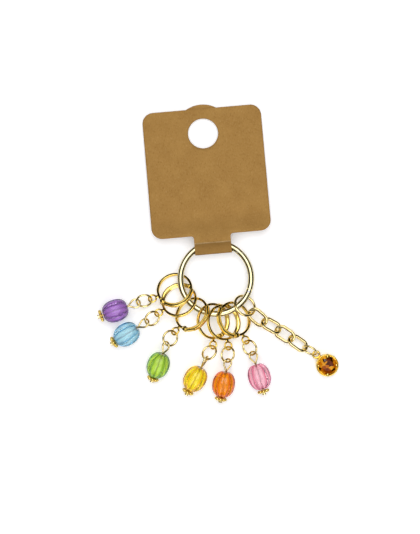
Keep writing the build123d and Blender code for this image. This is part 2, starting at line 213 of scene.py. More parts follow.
# %% Sections carried along lines
def superellipse(width, height, power, count):
    """Closed section with |x/a|^p + |y/b|^p = 1, the points spread by angle."""
    angle = np.linspace(0, 2 * pi, count, endpoint=False)
    x = np.sign(np.cos(angle)) * np.abs(np.cos(angle)) ** (2 / power)
    y = np.sign(np.sin(angle)) * np.abs(np.sin(angle)) ** (2 / power)
    return np.stack([x * width / 2, y * height / 2], axis=-1)


def carried(line, section, normal, ring=False):
    """Grid of a section carried along a line: its x lies in the line's plane, square to the line, and
    its y along the normal. The section may differ from row to row."""
    if ring:
        tangent = np.roll(line, -1, axis=0) - np.roll(line, 1, axis=0)
    else:
        tangent = np.gradient(line, axis=0)
    tangent /= np.linalg.norm(tangent, axis=1, keepdims=True)
    side = np.cross(tangent, normal)
    side /= np.linalg.norm(side, axis=1, keepdims=True)
    up = np.cross(side, tangent)
    section = np.broadcast_to(section, (len(line),) + section.shape[-2:])
    return line[:, None] + section[..., :1] * side[:, None] + section[..., 1:] * up[:, None]


def arc(reach, start, end, count):
    """Points on a circle in the XY plane, from one angle in degrees to another."""
    angle = np.radians(np.linspace(start, end, count))
    return np.stack([reach * np.cos(angle), reach * np.sin(angle), np.zeros(count)], axis=-1)


def circle(reach, count):
    """A closed circle in the XY plane, without its last point."""
    return arc(reach, 0, 360, count + 1)[:-1]


def wire_ring(reach, count, section):
    """A closed ring of wire in the XY plane about the origin, as a grid."""
    return carried(circle(reach, count), section, UP, True)


def turned(outline, count):
    """Grid of an outline (distance, height) spun about Z: rows go round, columns follow the outline."""
    angle = np.linspace(0, 2 * pi, count, endpoint=False)
    x = np.cos(angle)[:, None] * outline[:, 0]
    y = np.sin(angle)[:, None] * outline[:, 0]
    return np.stack([x, y, np.broadcast_to(outline[:, 1], x.shape)], axis=-1)


print("points on a round wire's section:", len(superellipse(1, 1, 2, 18)))

# %% [markdown]
# ## Camera
# The photograph looks almost straight down on a white sheet, rolled a few degrees and tilted slightly
# towards its lower edge. A camera could be tracked to an empty and nudged by eye. Here its matrix is
# worked out from the photograph's scale and from where the holder ring's middle lies in the picture, so
# that every later change of shape is judged in the same frame.

# %% Camera
photo_scale = 2.75  # pixels per millimetre
photo_width, photo_height = 420, 534
ring_pixel = (215.8, 278.5)
camera_roll = radians(5)
camera_tilt = radians(1.5)
camera_distance = 600.0
sensor_size = 36.0
nearest_seen = 0.01

photo_right = np.array([np.cos(camera_roll), -np.sin(camera_roll), 0.0])
photo_up = np.array([np.sin(camera_roll), np.cos(camera_roll), 0.0])
middle_right = (photo_width / 2 - ring_pixel[0]) / photo_scale
middle_up = (ring_pixel[1] - photo_height / 2) / photo_scale
target = photo_right * middle_right + photo_up * middle_up
back = UP * np.cos(camera_tilt) - photo_up * np.sin(camera_tilt)


def stand(piece, matrix):
    """Puts a camera or a lamp at a place in millimetres."""
    matrix[:3, 3] *= MM
    piece.matrix_world = Matrix(matrix.tolist())
    bpy.context.scene.collection.objects.link(piece)


camera_data = bpy.data.cameras.new("camera")
camera = bpy.data.objects.new("camera", camera_data)
stand(camera, place(target + back * camera_distance, photo_right, np.cross(back, photo_right)))
camera_data.sensor_width = sensor_size
camera_data.lens = sensor_size * camera_distance / (photo_height / photo_scale)
camera_data.clip_start = nearest_seen
bpy.context.scene.camera = camera
bpy.context.scene.view_settings.view_transform = "Standard"
print("lens in mm:", round(camera_data.lens, 1))

# %% [markdown]
# ## Colours and shader nodes
# Shaders reckon in linear light, but a given colour is an sRGB hex code, so one function turns the one into
# the other. Node trees could be wired by hand in the editor. One small function that adds a node with its
# settings and links keeps each material readable as a list of what it is made from.


# %% Colours and nodes
def colour(code):
    """An sRGB hex colour such as C0FFEE as the linear values that the shaders use."""
    srgb = np.array([int(code[start:start + 2], 16) / 255 for start in (0, 2, 4)])
    linear = np.where(srgb <= 0.04045, srgb / 12.92, ((srgb + 0.055) / 1.055) ** 2.4)
    return (*linear.tolist(), 1.0)


def add(tree, kind, inputs=None, **settings):
    """Adds a node, sets its settings, and gives each named input a value or a link."""
    node = tree.nodes.new(kind)
    for key, value in settings.items():
        setattr(node, key, value)
    for key, value in (inputs or {}).items():
        if isinstance(value, bpy.types.NodeSocket):
            tree.links.new(value, node.inputs[key])
        else:
            node.inputs[key].default_value = value
    return node


def bare_tree(owner):
    """The emptied node tree of a material or a world."""
    owner.use_nodes = True
    owner.node_tree.nodes.clear()
    return owner.node_tree


def ramp(tree, value, stops):
    """Colour ramp through (position, hex colour) stops."""
    node = add(tree, "ShaderNodeValToRGB", {"Fac": value})
    elements = node.color_ramp.elements
    while len(elements) < len(stops):
        elements.new(0.5)
    for element, (position, code) in zip(elements, stops):
        element.position = position
        element.color = colour(code)
    return node.outputs["Color"]


print("mid grey 808080 is", round(colour("808080")[0], 3), "in linear light")

# %% [markdown]
# ## Floor
# The set lies on a plain white sheet that is slightly over-lit, so it is almost free of grey. More light
# would do that too, but would bleach the object. Instead the sheet glows a little for the camera, and in
# reflections and through the beads, while it stays an ordinary matt sheet for shadows.

# %% Floor
floor_half = 1600.0
floor_glow = 0.30
sheet_white = "F4F4F6"
floor_level = cad_low[2] / MM
floor_corners = np.array([[-1, -1, 0], [1, -1, 0], [1, 1, 0], [-1, 1, 0]]) * floor_half + UP * floor_level
floor_mesh = bpy.data.meshes.new("floor")
floor_mesh.from_pydata((floor_corners * MM).tolist(), [], [[0, 1, 2, 3]])
floor = bpy.data.objects.new("floor", floor_mesh)
bpy.context.scene.collection.objects.link(floor)

floor_finish = bpy.data.materials.new("white sheet")
tree = bare_tree(floor_finish)
sheet = add(tree, "ShaderNodeBsdfDiffuse", {"Color": colour(sheet_white)})
rays = add(tree, "ShaderNodeLightPath").outputs
seen = rays["Is Camera Ray"]
for ray in ("Is Glossy Ray", "Is Transmission Ray"):
    seen = add(tree, "ShaderNodeMath", {0: seen, 1: rays[ray]}, operation="MAXIMUM").outputs[0]
lifted = add(tree, "ShaderNodeMath", {0: seen, 1: floor_glow}, operation="MULTIPLY")
glow = add(tree, "ShaderNodeEmission", {"Color": colour("FFFFFF"), "Strength": lifted.outputs[0]})
both = add(tree, "ShaderNodeAddShader", {0: sheet.outputs[0], 1: glow.outputs[0]})
add(tree, "ShaderNodeOutputMaterial", {"Surface": both.outputs[0]})
floor_mesh.materials.append(floor_finish)
print("floor lies at", round(floor_level, 2), "mm")

# %% [markdown]
# ## World and lamps
# Plated wire shows what surrounds it, and in the photograph it shows a white room with dark furniture
# low down. A photographed surrounding could be wrapped round the scene. A colour ramp by height does the
# same job with four tones: white overhead, then a dark belt that draws the dark lines along the metal,
# and grey to white below it. Two soft boxes stand in for a window and a ceiling.

# %% World
sky_strength = 0.62
sky_stops = [(0.0, sheet_white), (0.5, "9A9690"), (0.55, "1E1A14"),
             (0.83, "1E1A14"), (0.88, sheet_white), (1.0, sheet_white)]

world = bpy.data.worlds.new("studio")
bpy.context.scene.world = world
tree = bare_tree(world)
direction = add(tree, "ShaderNodeTexCoord").outputs["Generated"]
height = add(tree, "ShaderNodeSeparateXYZ", {"Vector": direction}).outputs["Z"]
lift = add(tree, "ShaderNodeMapRange", {"Value": height, "From Min": -1.0, "From Max": 1.0})
sky = ramp(tree, lift.outputs["Result"], sky_stops)
background = add(tree, "ShaderNodeBackground", {"Color": sky, "Strength": sky_strength})
add(tree, "ShaderNodeOutputWorld", {"Surface": background.outputs["Background"]})
print("the dark belt runs from", sky_stops[2][0], "to", sky_stops[3][0], "of the sky's height")


# %% Lamps
def lamp(name, origin, size, power):
    """A square soft box at a point in millimetres, aimed at the object."""
    data = bpy.data.lights.new(name, "AREA")
    data.size = size * MM
    data.energy = power
    aim = unit(origin - target)
    never_zero = np.array([1e-6, 0, 0])  # keeps a lamp straight overhead from losing its direction
    across = unit(np.cross(UP, aim) + never_zero)
    stand(bpy.data.objects.new(name, data), place(origin, across, np.cross(aim, across)))
    print(name, "lamp:", power, "W, in mm", size, "wide at", origin.round().tolist())


lamp("window", target - photo_up * 500 + photo_right * 60 + UP * 520, 420, 1.5)
lamp("ceiling", target + photo_up * 200 + UP * 800, 700, 4.2)

# %% [markdown]
# ## Plated metal
# The findings are brass or zinc alloy with a bright gold plate, tumbled and then dipped. A plain smooth
# metal would look like a mirror, and the real plate doesn't: it is so thin that it follows every ripple
# of the base metal, and handling leaves fine scuffs that spread the highlights. So the gloss here has a
# faint waviness and a scuffed roughness. Three tones are on the object: yellow gold on the markers, pale
# gold on the chain and rings, and champagne on the holder ring.


# %% Plated metals
drift_size = 3.0   # plate thickens and thins over a few millimetres
ripple_size = 1.2  # the hammered-out waves of a stamped strip
scuff_size = 0.12  # real scuffs are near 0.02 mm, drawn coarser so that they still show


def plain_material(name):
    """A material with only its output and its Principled shader, and its Object coordinates."""
    material = bpy.data.materials.new(name)
    tree = bare_tree(material)
    shader = add(tree, "ShaderNodeBsdfPrincipled")
    add(tree, "ShaderNodeOutputMaterial", {"Surface": shader.outputs["BSDF"]})
    where = add(tree, "ShaderNodeTexCoord").outputs["Object"]
    return material, tree, shader, where


def noise(tree, where, size, detail):
    """Noise whose blobs are as many millimetres across as the size says."""
    inputs = {"Vector": where, "Scale": 1 / (size * MM), "Detail": detail}
    return add(tree, "ShaderNodeTexNoise", inputs).outputs["Fac"]


def plated_metal(name, bright, deep, roughness):
    """Polished plate: colour drifts between two tones, and a ripple and fine scuffs break the gloss."""
    material, tree, shader, where = plain_material(name)
    scuffs = noise(tree, where, scuff_size, 4.0)
    tone = ramp(tree, noise(tree, where, drift_size, 3.0), [(0.35, deep), (0.65, bright)])
    gloss = add(tree, "ShaderNodeMapRange", {
        "Value": scuffs, "From Min": 0.3, "From Max": 0.8,
        "To Min": roughness * 0.7, "To Max": roughness * 1.8,
    })
    low = add(tree, "ShaderNodeBump", {"Height": noise(tree, where, ripple_size, 1.0), "Strength": 0.35,
                                       "Distance": 0.03 * MM})
    fine = add(tree, "ShaderNodeBump", {"Height": scuffs, "Strength": 0.15, "Distance": 0.004 * MM,
                                        "Normal": low.outputs["Normal"]})
    tree.links.new(tone, shader.inputs["Base Color"])
    tree.links.new(gloss.outputs["Result"], shader.inputs["Roughness"])
    tree.links.new(fine.outputs["Normal"], shader.inputs["Normal"])
    shader.inputs["Metallic"].default_value = 1.0
    return material


yellow_gold = plated_metal("polished yellow gold plate", "F7DC80", "E4C05A", 0.12)
pale_gold = plated_metal("polished pale gold plate", "F2E0A8", "DFC887", 0.14)
champagne = plated_metal("polished champagne plate", "D6CBA4", "B9AE84", 0.12)
spring_steel = plated_metal("drawn spring steel", "A9A9AB", "8C8C90", 0.25)
print("metals:", [metal.name for metal in (yellow_gold, pale_gold, champagne, spring_steel)])

# %% [markdown]
# ## Frame pieces that only need a finish
# The round-wire rings, eye pins, hinge pin and spring already have their true shape in the frame.
# Drawing them again would gain nothing. Their loose triangles are merged and shaded smoothly by
# modifiers, with the real edges, such as the cut ends of the wire, kept sharp.

# %% Dress the wire pieces
merge_gap = 0.001
sharp_angle = radians(32)


def dress(name, material):
    """Smooth shading and a finish for a frame piece that stays as it is."""
    piece = nodes[name]
    faces = len(piece.data.polygons)
    piece.data.materials.clear()
    piece.data.materials.append(material)
    piece.data.polygons.foreach_set("material_index", [0] * faces)
    piece.data.polygons.foreach_set("use_smooth", [True] * faces)
    weld = piece.modifiers.new("merge", "WELD")
    weld.merge_threshold = merge_gap * MM
    split = piece.modifiers.new("edges", "EDGE_SPLIT")
    split.split_angle = sharp_angle


wires = {
    champagne: ["ring_body", "ring_gate"],
    spring_steel: ["gate_pin", "gate_spring"],
    pale_gold: ["chain_ring", "charm_ring"] + [kind + shade for kind in ("jump_ring_", "pin_")
                                               for shade in colours],
}
for material, names in wires.items():
    for name in names:
        dress(name, material)
    print(material.name, "on", len(names), "frame pieces")

# %% [markdown]
# ## Leverback hoops
# Each marker hangs from an earring finding. A flat front plate tapers round to a thin hook wire, and a
# folded channel, the lever, closes over the wire's tip. Six hoops could each be placed by hand, but the
# joints of a marker already say exactly where its hoop lies: the hanging loop and its axis give the
# hoop's plane, and the rivet says on which side the lever is.

# %% Hoop sizes and places
hoop_reach = 6.15       # from the hoop's middle to the middle of its strip
hoop_thickness = 0.9
plate_width = 1.6
hook_width = 0.72
loop_reach = 8.7
loop_radius = 1.4
loop_wire = 0.7
rivet_angle = 25.0      # degrees round the hoop, from its hanging loop
lever_tip_angle = 155.0
hook_tuck_angle = 3.0   # how far the hook wire reaches under the lever's tip


def hoop_place(shade):
    """Place of a hoop: x runs level to its hanging loop, and the lever is on its +y side."""
    loop, normal = joint_point("jump_ring_swing_" + shade), joint_axis("jump_ring_swing_" + shade)
    x = unit(np.cross(normal, UP))
    x *= np.sign(x @ loop)
    centre = loop - x * loop_reach
    y = np.cross(normal, x)
    y *= np.sign(y @ (joint_point("lever_hinge_" + shade) - centre))
    return place(centre, x, y)


hoop_places = {shade: hoop_place(shade) for shade in colours}
print("hoop middles in mm:", {shade: spot[:3, 3].round(1).tolist() for shade, spot in hoop_places.items()})

# %% [markdown]
# ## Plate, fork, neck and loop
# The strip is rolled so that it is widest in front and no wider than a wire behind. A scaled ring would
# taper in thickness too, so the width alone is made to follow the distance along x. Two cheeks form the
# fork for the rivet, and a short neck carries the loop.

# %% Front plate, hook wire and hanging loop
strip_rows = 120
strip_points = 28
strip_power = 5
fork_setback = 8.0      # degrees short of the rivet where the strip ends between its cheeks
boss_radius = 0.95
fork_slot = 0.76
fork_cheek = (plate_width - fork_slot) / 2
neck_width, neck_height = 1.1, 0.7
rivet_spot = arc(hoop_reach, rivet_angle, rivet_angle, 1)[0]


def disc(centre, radius, thickness, power=6, count=40, side=28):
    """Coin with softened edges: the outer half of a superellipse spun about Z."""
    half = superellipse(2 * radius, thickness, power, side * 2)
    half = half[np.argsort(np.arctan2(half[:, 1], half[:, 0]))]
    outline = half[half[:, 0] > 1e-6]
    return shell(np.swapaxes(turned(outline, count), 0, 1) + centre)


def hoop_shells():
    """The bent strip, its width growing evenly with x from hook wire to front plate, two fork cheeks,
    the neck and the loop."""
    line = arc(hoop_reach, lever_tip_angle - 360 - hook_tuck_angle, rivet_angle - fork_setback, strip_rows)
    reach = hoop_reach + hoop_thickness
    width = hook_width + (plate_width - hook_width) * (line[:, 0] + reach) / (2 * reach)
    section = superellipse(1.0, 1.0, strip_power, strip_points)
    thickness = np.broadcast_to(section[:, 0] * hoop_thickness, (strip_rows, strip_points))
    strip = carried(line, np.stack([thickness, section[:, 1] * width[:, None]], axis=-1), UP)
    cheek_height = UP * (plate_width - fork_cheek) / 2
    cheeks = [disc(rivet_spot + side * cheek_height, boss_radius, fork_cheek) for side in (1, -1)]
    neck_line = np.linspace([hoop_reach, 0, 0], [loop_reach - loop_radius, 0, 0], 8)
    neck = carried(neck_line, superellipse(neck_width, neck_height, 4, 24), UP)
    loop = wire_ring(loop_radius, 48, superellipse(loop_wire, loop_wire, 2, 18)) + [loop_reach, 0, 0]
    return [shell(strip), *cheeks, shell(neck), shell(loop, True)]


print("a hoop is", len(hoop_shells()), "shells, its strip", hook_width, "to", plate_width, "mm wide")

# %% [markdown]
# ## Levers
# The lever is stamped from thin sheet and folded into a channel, open towards the hoop, so the hook
# wire's tip can sink into it. Its back is a run of flats with soft corners. A solid bar would look right
# only when shut; the open channel also looks right when the lever is swung out. A neck fills the
# channel's foot and narrows to a tongue that turns between the fork's cheeks.

# %% Lever: a channel with a faceted back
lever_outer = 6.85
lever_inner = 5.7
lever_width = 1.4
lever_wall = 0.22
lever_flat = 45.0        # degrees from one corner of the back to the next
corner_share = 1.02      # how far a corner may stand out, as a share of the flat's reach
neck_start = 2.0         # degrees past the rivet
lever_neck_end = 41.0
neck_overlap = 6.0       # degrees that neck and channel share
lever_tongue = 0.64
channel_corner = 0.18
channel_rows = 90


def lever_back(angle):
    """Outer reach of the lever at an angle: R / cos(a) on each flat, cut off at its corners."""
    from_middle = (angle - rivet_angle) % lever_flat - lever_flat / 2
    sharp = lever_outer / np.cos(np.radians(from_middle))
    return np.minimum(sharp, lever_outer * corner_share)


def channel_sections(depth):
    """One U section for each depth, open towards the hoop's middle: x from the inner edge outwards, y
    across, with the two outer edges rounded."""
    half, inner = lever_width / 2, lever_width / 2 - lever_wall
    bend = np.linspace(0, pi / 2, 6)[::-1]
    depth = depth[:, None]
    none = 0 * depth
    right_x = depth - channel_corner + channel_corner * np.cos(bend)
    right_y = none - half + channel_corner - channel_corner * np.sin(bend)
    x = np.hstack([none, right_x, right_x[:, ::-1], none, none, depth - lever_wall, depth - lever_wall, none])
    y = np.hstack([none - half, right_y, -right_y[:, ::-1], none + half, none + inner, none + inner,
                   none - inner, none - inner])
    return np.stack([x, y], axis=-1)


def lever_shells():
    """The channel, its solid neck that narrows by a square law, and the round tongue."""
    angles = np.linspace(lever_neck_end - neck_overlap, lever_tip_angle, channel_rows)
    sections = channel_sections(lever_back(angles) - lever_inner)
    directions = np.stack([np.cos(np.radians(angles)), np.sin(np.radians(angles)), 0 * angles], axis=-1)
    reach = lever_inner + sections[..., 0]
    channel = directions[:, None] * reach[..., None] + UP * sections[..., 1:]

    angles = np.linspace(rivet_angle + neck_start, lever_neck_end, 16)
    spread = (angles - rivet_angle) / (lever_neck_end - rivet_angle)
    width = lever_tongue + (lever_width - lever_tongue) * spread ** 2
    middle = (lever_back(angles) + lever_inner) / 2
    depth = lever_back(angles) - lever_inner
    turn = np.radians(angles)
    line = np.stack([middle * np.cos(turn), middle * np.sin(turn), 0 * angles], axis=-1)
    section = superellipse(1, 1, strip_power, 24)
    sections = np.stack([section[:, 0] * depth[:, None], section[:, 1] * width[:, None]], axis=-1)
    return [shell(channel), shell(carried(line, sections, UP)), disc(rivet_spot, boss_radius, lever_tongue)]


print("a lever is", len(lever_shells()), "shells, its back a flat every", lever_flat, "degrees")

# %% [markdown]
# ## Rivets
# A short pin is set through fork and tongue, and its ends are spread into low heads. A flat cylinder
# would show a hard circle. A superellipse with a power near 2 gives the head its low dome, and the same
# coin with a high power gives the straight pin.

# %% Rivets
pin_radius = 0.35
pin_spare = 0.1
head_radius = 0.55
head_thickness = 0.26
head_lift = 0.04


def rivet_shells():
    """A pin with a low domed head each side."""
    lift = UP * (plate_width / 2 + head_lift)
    heads = [disc(rivet_spot + side * lift, head_radius, head_thickness, power=2.4) for side in (1, -1)]
    return [disc(rivet_spot, pin_radius, plate_width + pin_spare, power=12), *heads]


hoop_pieces = (          # name, surface, the frame piece it replaces, and the body it rides on
    ("hoop_plate_", hoop_shells, "hoop_", "hoop_"),
    ("hoop_lever_", lever_shells, "lever_", "lever_"),
    ("hinge_rivet_", rivet_shells, "rivet_", "hoop_"),
)
for shade in colours:
    for name, surface, node, body in hoop_pieces:
        build(name + shade, placed(surface(), hoop_places[shade]), node + shade, body + shade,
              yellow_gold)
print("hoops, levers and rivets made:", len(colours) * len(hoop_pieces))

# %% [markdown]
# ## Clear acrylic
# The beads are moulded acrylic, dyed through. Plain coloured glass would be even in tone, but a real bead is
# pale where the eye looks straight through its thin lobes and deep at its rim and along its valleys, where
# the way through is longer. Tracing that depth is slow and noisy in so small a piece, so that deeper tone is
# painted shade: the colour follows how far the surface turns from the eye and how deep in a valley it lies.
# Acrylic bends light a little less than glass, with an index near 1.49.

# %% Clear acrylic in six colours
flow_size = 2.5         # the swirl of the melt in the mould
valley_shade_share = 0.4
acrylic_index = 1.49
# each bead's heart is its own pale tint; its rim tint is painted shade at its rim and in its valleys
bead_tints_and_shades = {          # a bead's heart, and its rim
    "purple": ("CE9CE6", "3C0C60"), "aqua": ("D2F4FA", "1688BE"), "green": ("DAF46C", "2C8004"),
    "yellow": ("FFF648", "F09C00"), "orange": ("FFB62C", "D03400"), "pink": ("FFD8E2", "DA3474"),
}


def clear_acrylic(name, heart, rim):
    """Moulded acrylic: its depth of colour, a painted shade, is facing + share * valley, with a faint flow in
    its gloss.
    """
    material, tree, shader, where = plain_material(name)
    bump = add(tree, "ShaderNodeBump", {"Height": noise(tree, where, flow_size, 2.0), "Strength": 0.25,
                                        "Distance": 0.05 * MM})
    facing = add(tree, "ShaderNodeLayerWeight", {"Blend": 0.42}).outputs["Facing"]
    valley = add(tree, "ShaderNodeAttribute", attribute_name="valley").outputs["Fac"]
    depth = add(tree, "ShaderNodeMath", {0: valley, 1: valley_shade_share, 2: facing}, operation="MULTIPLY_ADD")
    # painted shade: the tone deepens from heart to rim with facing and valley
    tone = ramp(tree, depth.outputs[0], [(0.20, heart), (0.64, rim)])
    tree.links.new(tone, shader.inputs["Base Color"])
    tree.links.new(bump.outputs["Normal"], shader.inputs["Normal"])
    shader.inputs["Roughness"].default_value = 0.03
    shader.inputs["IOR"].default_value = acrylic_index
    shader.inputs["Transmission Weight"].default_value = 0.93
    return material


bead_finishes = {shade: clear_acrylic(shade + " moulded acrylic", *bead_tints_and_shades[shade]) for shade in colours}
print("acrylics:", [finish.name for finish in bead_finishes.values()])

# %% [markdown]
# ## Frosted bore
# The mould's core pin leaves the bore rough, so it looks matt and almost white and lights up the bead's
# heart. It could be a bump on the same acrylic. A finish of its own is plainer and costs fewer bounces
# of light.

# %% Frosted bore
tool_mark_size = 0.2    # real marks are finer, drawn coarser so that they still show


def frosted_bore():
    """The rough skin of the bore: matt and almost white, with fine tool marks."""
    material, tree, shader, where = plain_material("frosted bore")
    tone = ramp(tree, noise(tree, where, tool_mark_size, 2.0), [(0.3, "E8E4E0"), (0.7, "FFFFFF")])
    tree.links.new(tone, shader.inputs["Base Color"])
    shader.inputs["Roughness"].default_value = 0.6
    return material


bore_finish = frosted_bore()
print("made:", bore_finish.name)

# %% [markdown]
# ## Ribbed beads
# A melon bead is a barrel with ten full lobes that meet in narrow valleys. Ten stretched spheres would
# leave the bore and the ends untidy. One closed surface does it all: an outline runs from mouth to mouth
# and back through the bore, it is spun round the axis, and the lobes are pressed into its distance from
# the axis by a |cos| law, whose sharp zeros are the valleys.

# %% Bead surface
bead_diameter = 8.2
bead_length = 9.2
bead_mouth_radius = 1.5
bore_radius = 0.45
rib_count = 10
rib_depth = 0.30
rib_sharpness = 0.75
mouth_drop = 0.12
bead_columns, bead_rounds = 72, 160
lip_points, bore_points = 5, 8
bead_outline = bead_columns + 2 * lip_points + bore_points


def lobe_valleys():
    """How deep in a valley each direction round the bead is: 1 - |cos(n a / 2)|^s."""
    angle = np.linspace(0, 2 * pi, bead_rounds, endpoint=False)
    return 1 - np.abs(np.cos(angle * rib_count / 2)) ** rib_sharpness


def bead_shells():
    """Barrel about Z with the distance mouth + (belly - mouth) (1 - |z/h|^2.3)^0.62, rounded into the
    bore, less the lobes' valleys, which fade out towards the mouths."""
    half, belly, mouth = bead_length / 2, bead_diameter / 2, bead_mouth_radius
    swing = np.linspace(-1, 1, bead_columns)
    outer_height = half * np.sin(swing * pi / 2)
    fullness = np.clip(1 - np.abs(outer_height / half) ** 2.3, 0, 1) ** 0.62
    outer = mouth + (belly - mouth) * fullness
    lip = np.linspace(1, 0, lip_points + 1)[1:]
    top_lip = np.stack([bore_radius + (mouth - bore_radius) * lip, half - mouth_drop * (1 - lip)], axis=-1)
    bore_height = np.linspace(half - mouth_drop, -half + mouth_drop, bore_points + 2)[1:-1]
    bore = np.stack([np.full(bore_points, bore_radius), bore_height], axis=-1)
    outline = np.vstack([np.stack([outer, outer_height], axis=-1), top_lip, bore, top_lip[::-1] * [1, -1]])
    angle = np.linspace(0, 2 * pi, bead_rounds, endpoint=False)
    fade_start = mouth * 0.8
    fade = np.clip((outline[:, 0] - fade_start) / (belly - fade_start), 0, 1) ** 0.5
    distance = outline[:, 0] - rib_depth * lobe_valleys()[:, None] * fade
    x = np.cos(angle)[:, None] * distance
    y = np.sin(angle)[:, None] * distance
    z = np.broadcast_to(outline[:, 1], x.shape)
    return [shell(np.stack([x, y, z], axis=-1), True)]


def frost(piece):
    """Gives the bore's faces the frosted finish, and marks how deep in a valley each point lies."""
    column = np.arange(len(piece.data.polygons)) % bead_outline
    first = bead_columns + lip_points - 1
    in_bore = (column >= first) & (column < first + bore_points + 2)
    valley = piece.data.attributes.new("valley", "FLOAT", "POINT")
    valley.data.foreach_set("value", np.repeat(lobe_valleys(), bead_outline))
    piece.data.materials.append(bore_finish)
    piece.data.polygons.foreach_set("material_index", in_bore.astype(int))


def pin_place(joint):
    """Place on an eye pin, with z along the pin, from a spin joint."""
    axis = joint_axis(joint)
    side = unit(np.cross(UP, axis))
    return place(joint_point(joint), side, np.cross(axis, side))


for shade in colours:
    bead = build("ribbed_bead_" + shade, placed(bead_shells(), pin_place("bead_spin_" + shade)),
                 "bead_" + shade, "bead_" + shade, bead_finishes[shade])
    frost(bead)
print("beads made, with", rib_count, "lobes and", len(bead.data.vertices), "points each")

# %% [markdown]
# ## Daisy spacers
# Below each bead sits a small cast spacer, a ring of eight grains that looks like a flower from its end
# and like a row of pearls from its side. A spun form with a wavy edge would lose the gaps between the
# grains, so they are real balls, sunk a little into a low ring about the pin.

# %% Spacers
spacer_diameter = 4.5
spacer_length = 1.5
hub_radius = 1.0
hub_wall = 0.9
grain_count = 8
grain_radius = 0.62


def ball(centre, radius, rows=10, columns=16):
    """Small sphere: rows of latitude, with the poles left to the caps."""
    latitude = np.linspace(-pi / 2, pi / 2, rows + 2)[1:-1]
    angle = np.linspace(0, 2 * pi, columns, endpoint=False)
    x = (radius * np.cos(latitude))[:, None] * np.cos(angle)
    y = (radius * np.cos(latitude))[:, None] * np.sin(angle)
    z = np.broadcast_to(radius * np.sin(latitude)[:, None], x.shape)
    return np.stack([x, y, z], axis=-1) + centre


def spacer_shells():
    """A low ring about the pin, with grains set evenly round it."""
    hub = wire_ring(hub_radius, 48, superellipse(hub_wall, spacer_length * 0.8, 3, 16))
    centres = circle(spacer_diameter / 2 - grain_radius, grain_count)
    return [shell(hub, True)] + [shell(ball(centre, grain_radius)) for centre in centres]


for shade in colours:
    build("daisy_spacer_" + shade, placed(spacer_shells(), pin_place("spacer_spin_" + shade)),
          "spacer_" + shade, "spacer_" + shade, yellow_gold)
print("spacers made, with", grain_count, "grains each")

# %% [markdown]
# ## Chain links
# The extender is a short chain of oval links, bent from wire and closed. A stretched ring would thin the
# wire at its ends, so the line itself is an oval of two half circles and two straights. The section is a
# little square, because the wire is flattened by the rolls of the chain machine, and this gives the pale
# flats along its sides.

# %% Links
link_wire = 1.15
link_bend = 2.275
link_straight = 2.6
link_power = 3
link_count = 4
link_rows = 96


def link_line():
    """Closed oval with points evenly spaced along it: each half circle adds its turn while the run
    passes it, and between them x alone moves."""
    length = 2 * pi * link_bend + 2 * link_straight
    run = np.linspace(0, length, link_rows, endpoint=False)
    half_side, half_turn = link_straight / 2, pi * link_bend
    far_side = half_side + half_turn
    turn = np.clip(run - half_side, 0, half_turn) / link_bend
    turn = turn + np.clip(run - far_side - link_straight, 0, half_turn) / link_bend
    centre = np.where(run < far_side + half_side, half_side, -half_side)
    x = centre + link_bend * np.sin(turn)
    x = np.where((run > far_side) & (run < far_side + link_straight), half_side - (run - far_side), x)
    x = np.where(run < half_side, run, x)
    past = run - (length - half_side)
    x = np.where(past > 0, -half_side + past, x)
    return np.stack([x, -link_bend * np.cos(turn), 0 * x], axis=-1)


def link_shells():
    """Flattened wire carried along the oval."""
    section = superellipse(link_wire, link_wire, link_power, 22)
    return [shell(carried(link_line(), section, UP, True), True)]


def link_place(number):
    """Place of a link, from its middle and from where the next piece hangs on it."""
    following = "charm_ring_swing" if number == link_count else f"chain_link_swing_{number + 1}"
    low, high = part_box(f"chain_link_{number}")
    middle = (np.array(low) + np.array(high)) / 2 / MM
    x = unit(joint_point(following) - middle)
    return place(middle, x, np.cross(joint_axis(following), x))


for number in range(1, link_count + 1):
    name = f"chain_link_{number}"
    build(f"curb_link_{number}", placed(link_shells(), link_place(number)), name, name,
          pale_gold)
print("links made,", link_straight + 2 * link_bend + link_wire, "mm long")

# %% [markdown]
# ## Charm: cup and loop
# The charm is a cast cup that holds a stone, with a loop to hang it by. A cup could be cut from a solid
# with booleans. Spinning one closed outline gives wall, rim, foot and floor in one smooth sweep, and
# four prongs, bent over the stone's edge, are short tapered bars.

# %% Cup, prongs and loop
charm_heading = radians(311)
charm_slope = radians(6)
cup_reach = 5.5          # from the loop's middle to the cup's axis
cup_diameter = 8.2
cup_height = 2.9
cup_drop = 1.218         # of the cup's underside below the loop's middle
cup_wall = 0.45
cup_floor = 0.6
foot_radius = 0.5
axis_gap = 0.02          # keeps the spun outline off its own axis
prong_count = 4
prong_width, prong_thickness = 0.8, 0.5
prong_inset, prong_seat, prong_arch = 0.25, 0.15, 0.32
prong_rows = 10
charm_loop_radius = 1.2
charm_loop_wire = 0.8


def node_points(name):
    """All corners of one frame piece, in millimetres."""
    corners = np.empty(len(nodes[name].data.vertices) * 3, np.float32)
    nodes[name].data.vertices.foreach_get("co", corners)
    return corners.reshape(-1, 3) / MM


def charm_place():
    """Place of the charm: its tilt is known, and its origin comes from the frame piece's own extent."""
    x = np.array([np.cos(charm_heading) * np.cos(charm_slope), np.sin(charm_heading) * np.cos(charm_slope),
                  -np.sin(charm_slope)])
    y = unit(np.cross(UP, x))
    matrix = place(np.zeros(3), x, y)
    local = node_points("charm_cup") @ matrix[:3, :3]
    low, high = local.min(axis=0), local.max(axis=0)
    origin = [high[0] - cup_reach - cup_diameter / 2, (low[1] + high[1]) / 2, low[2] + cup_drop]
    return place(matrix[:3, :3] @ origin, x, y)


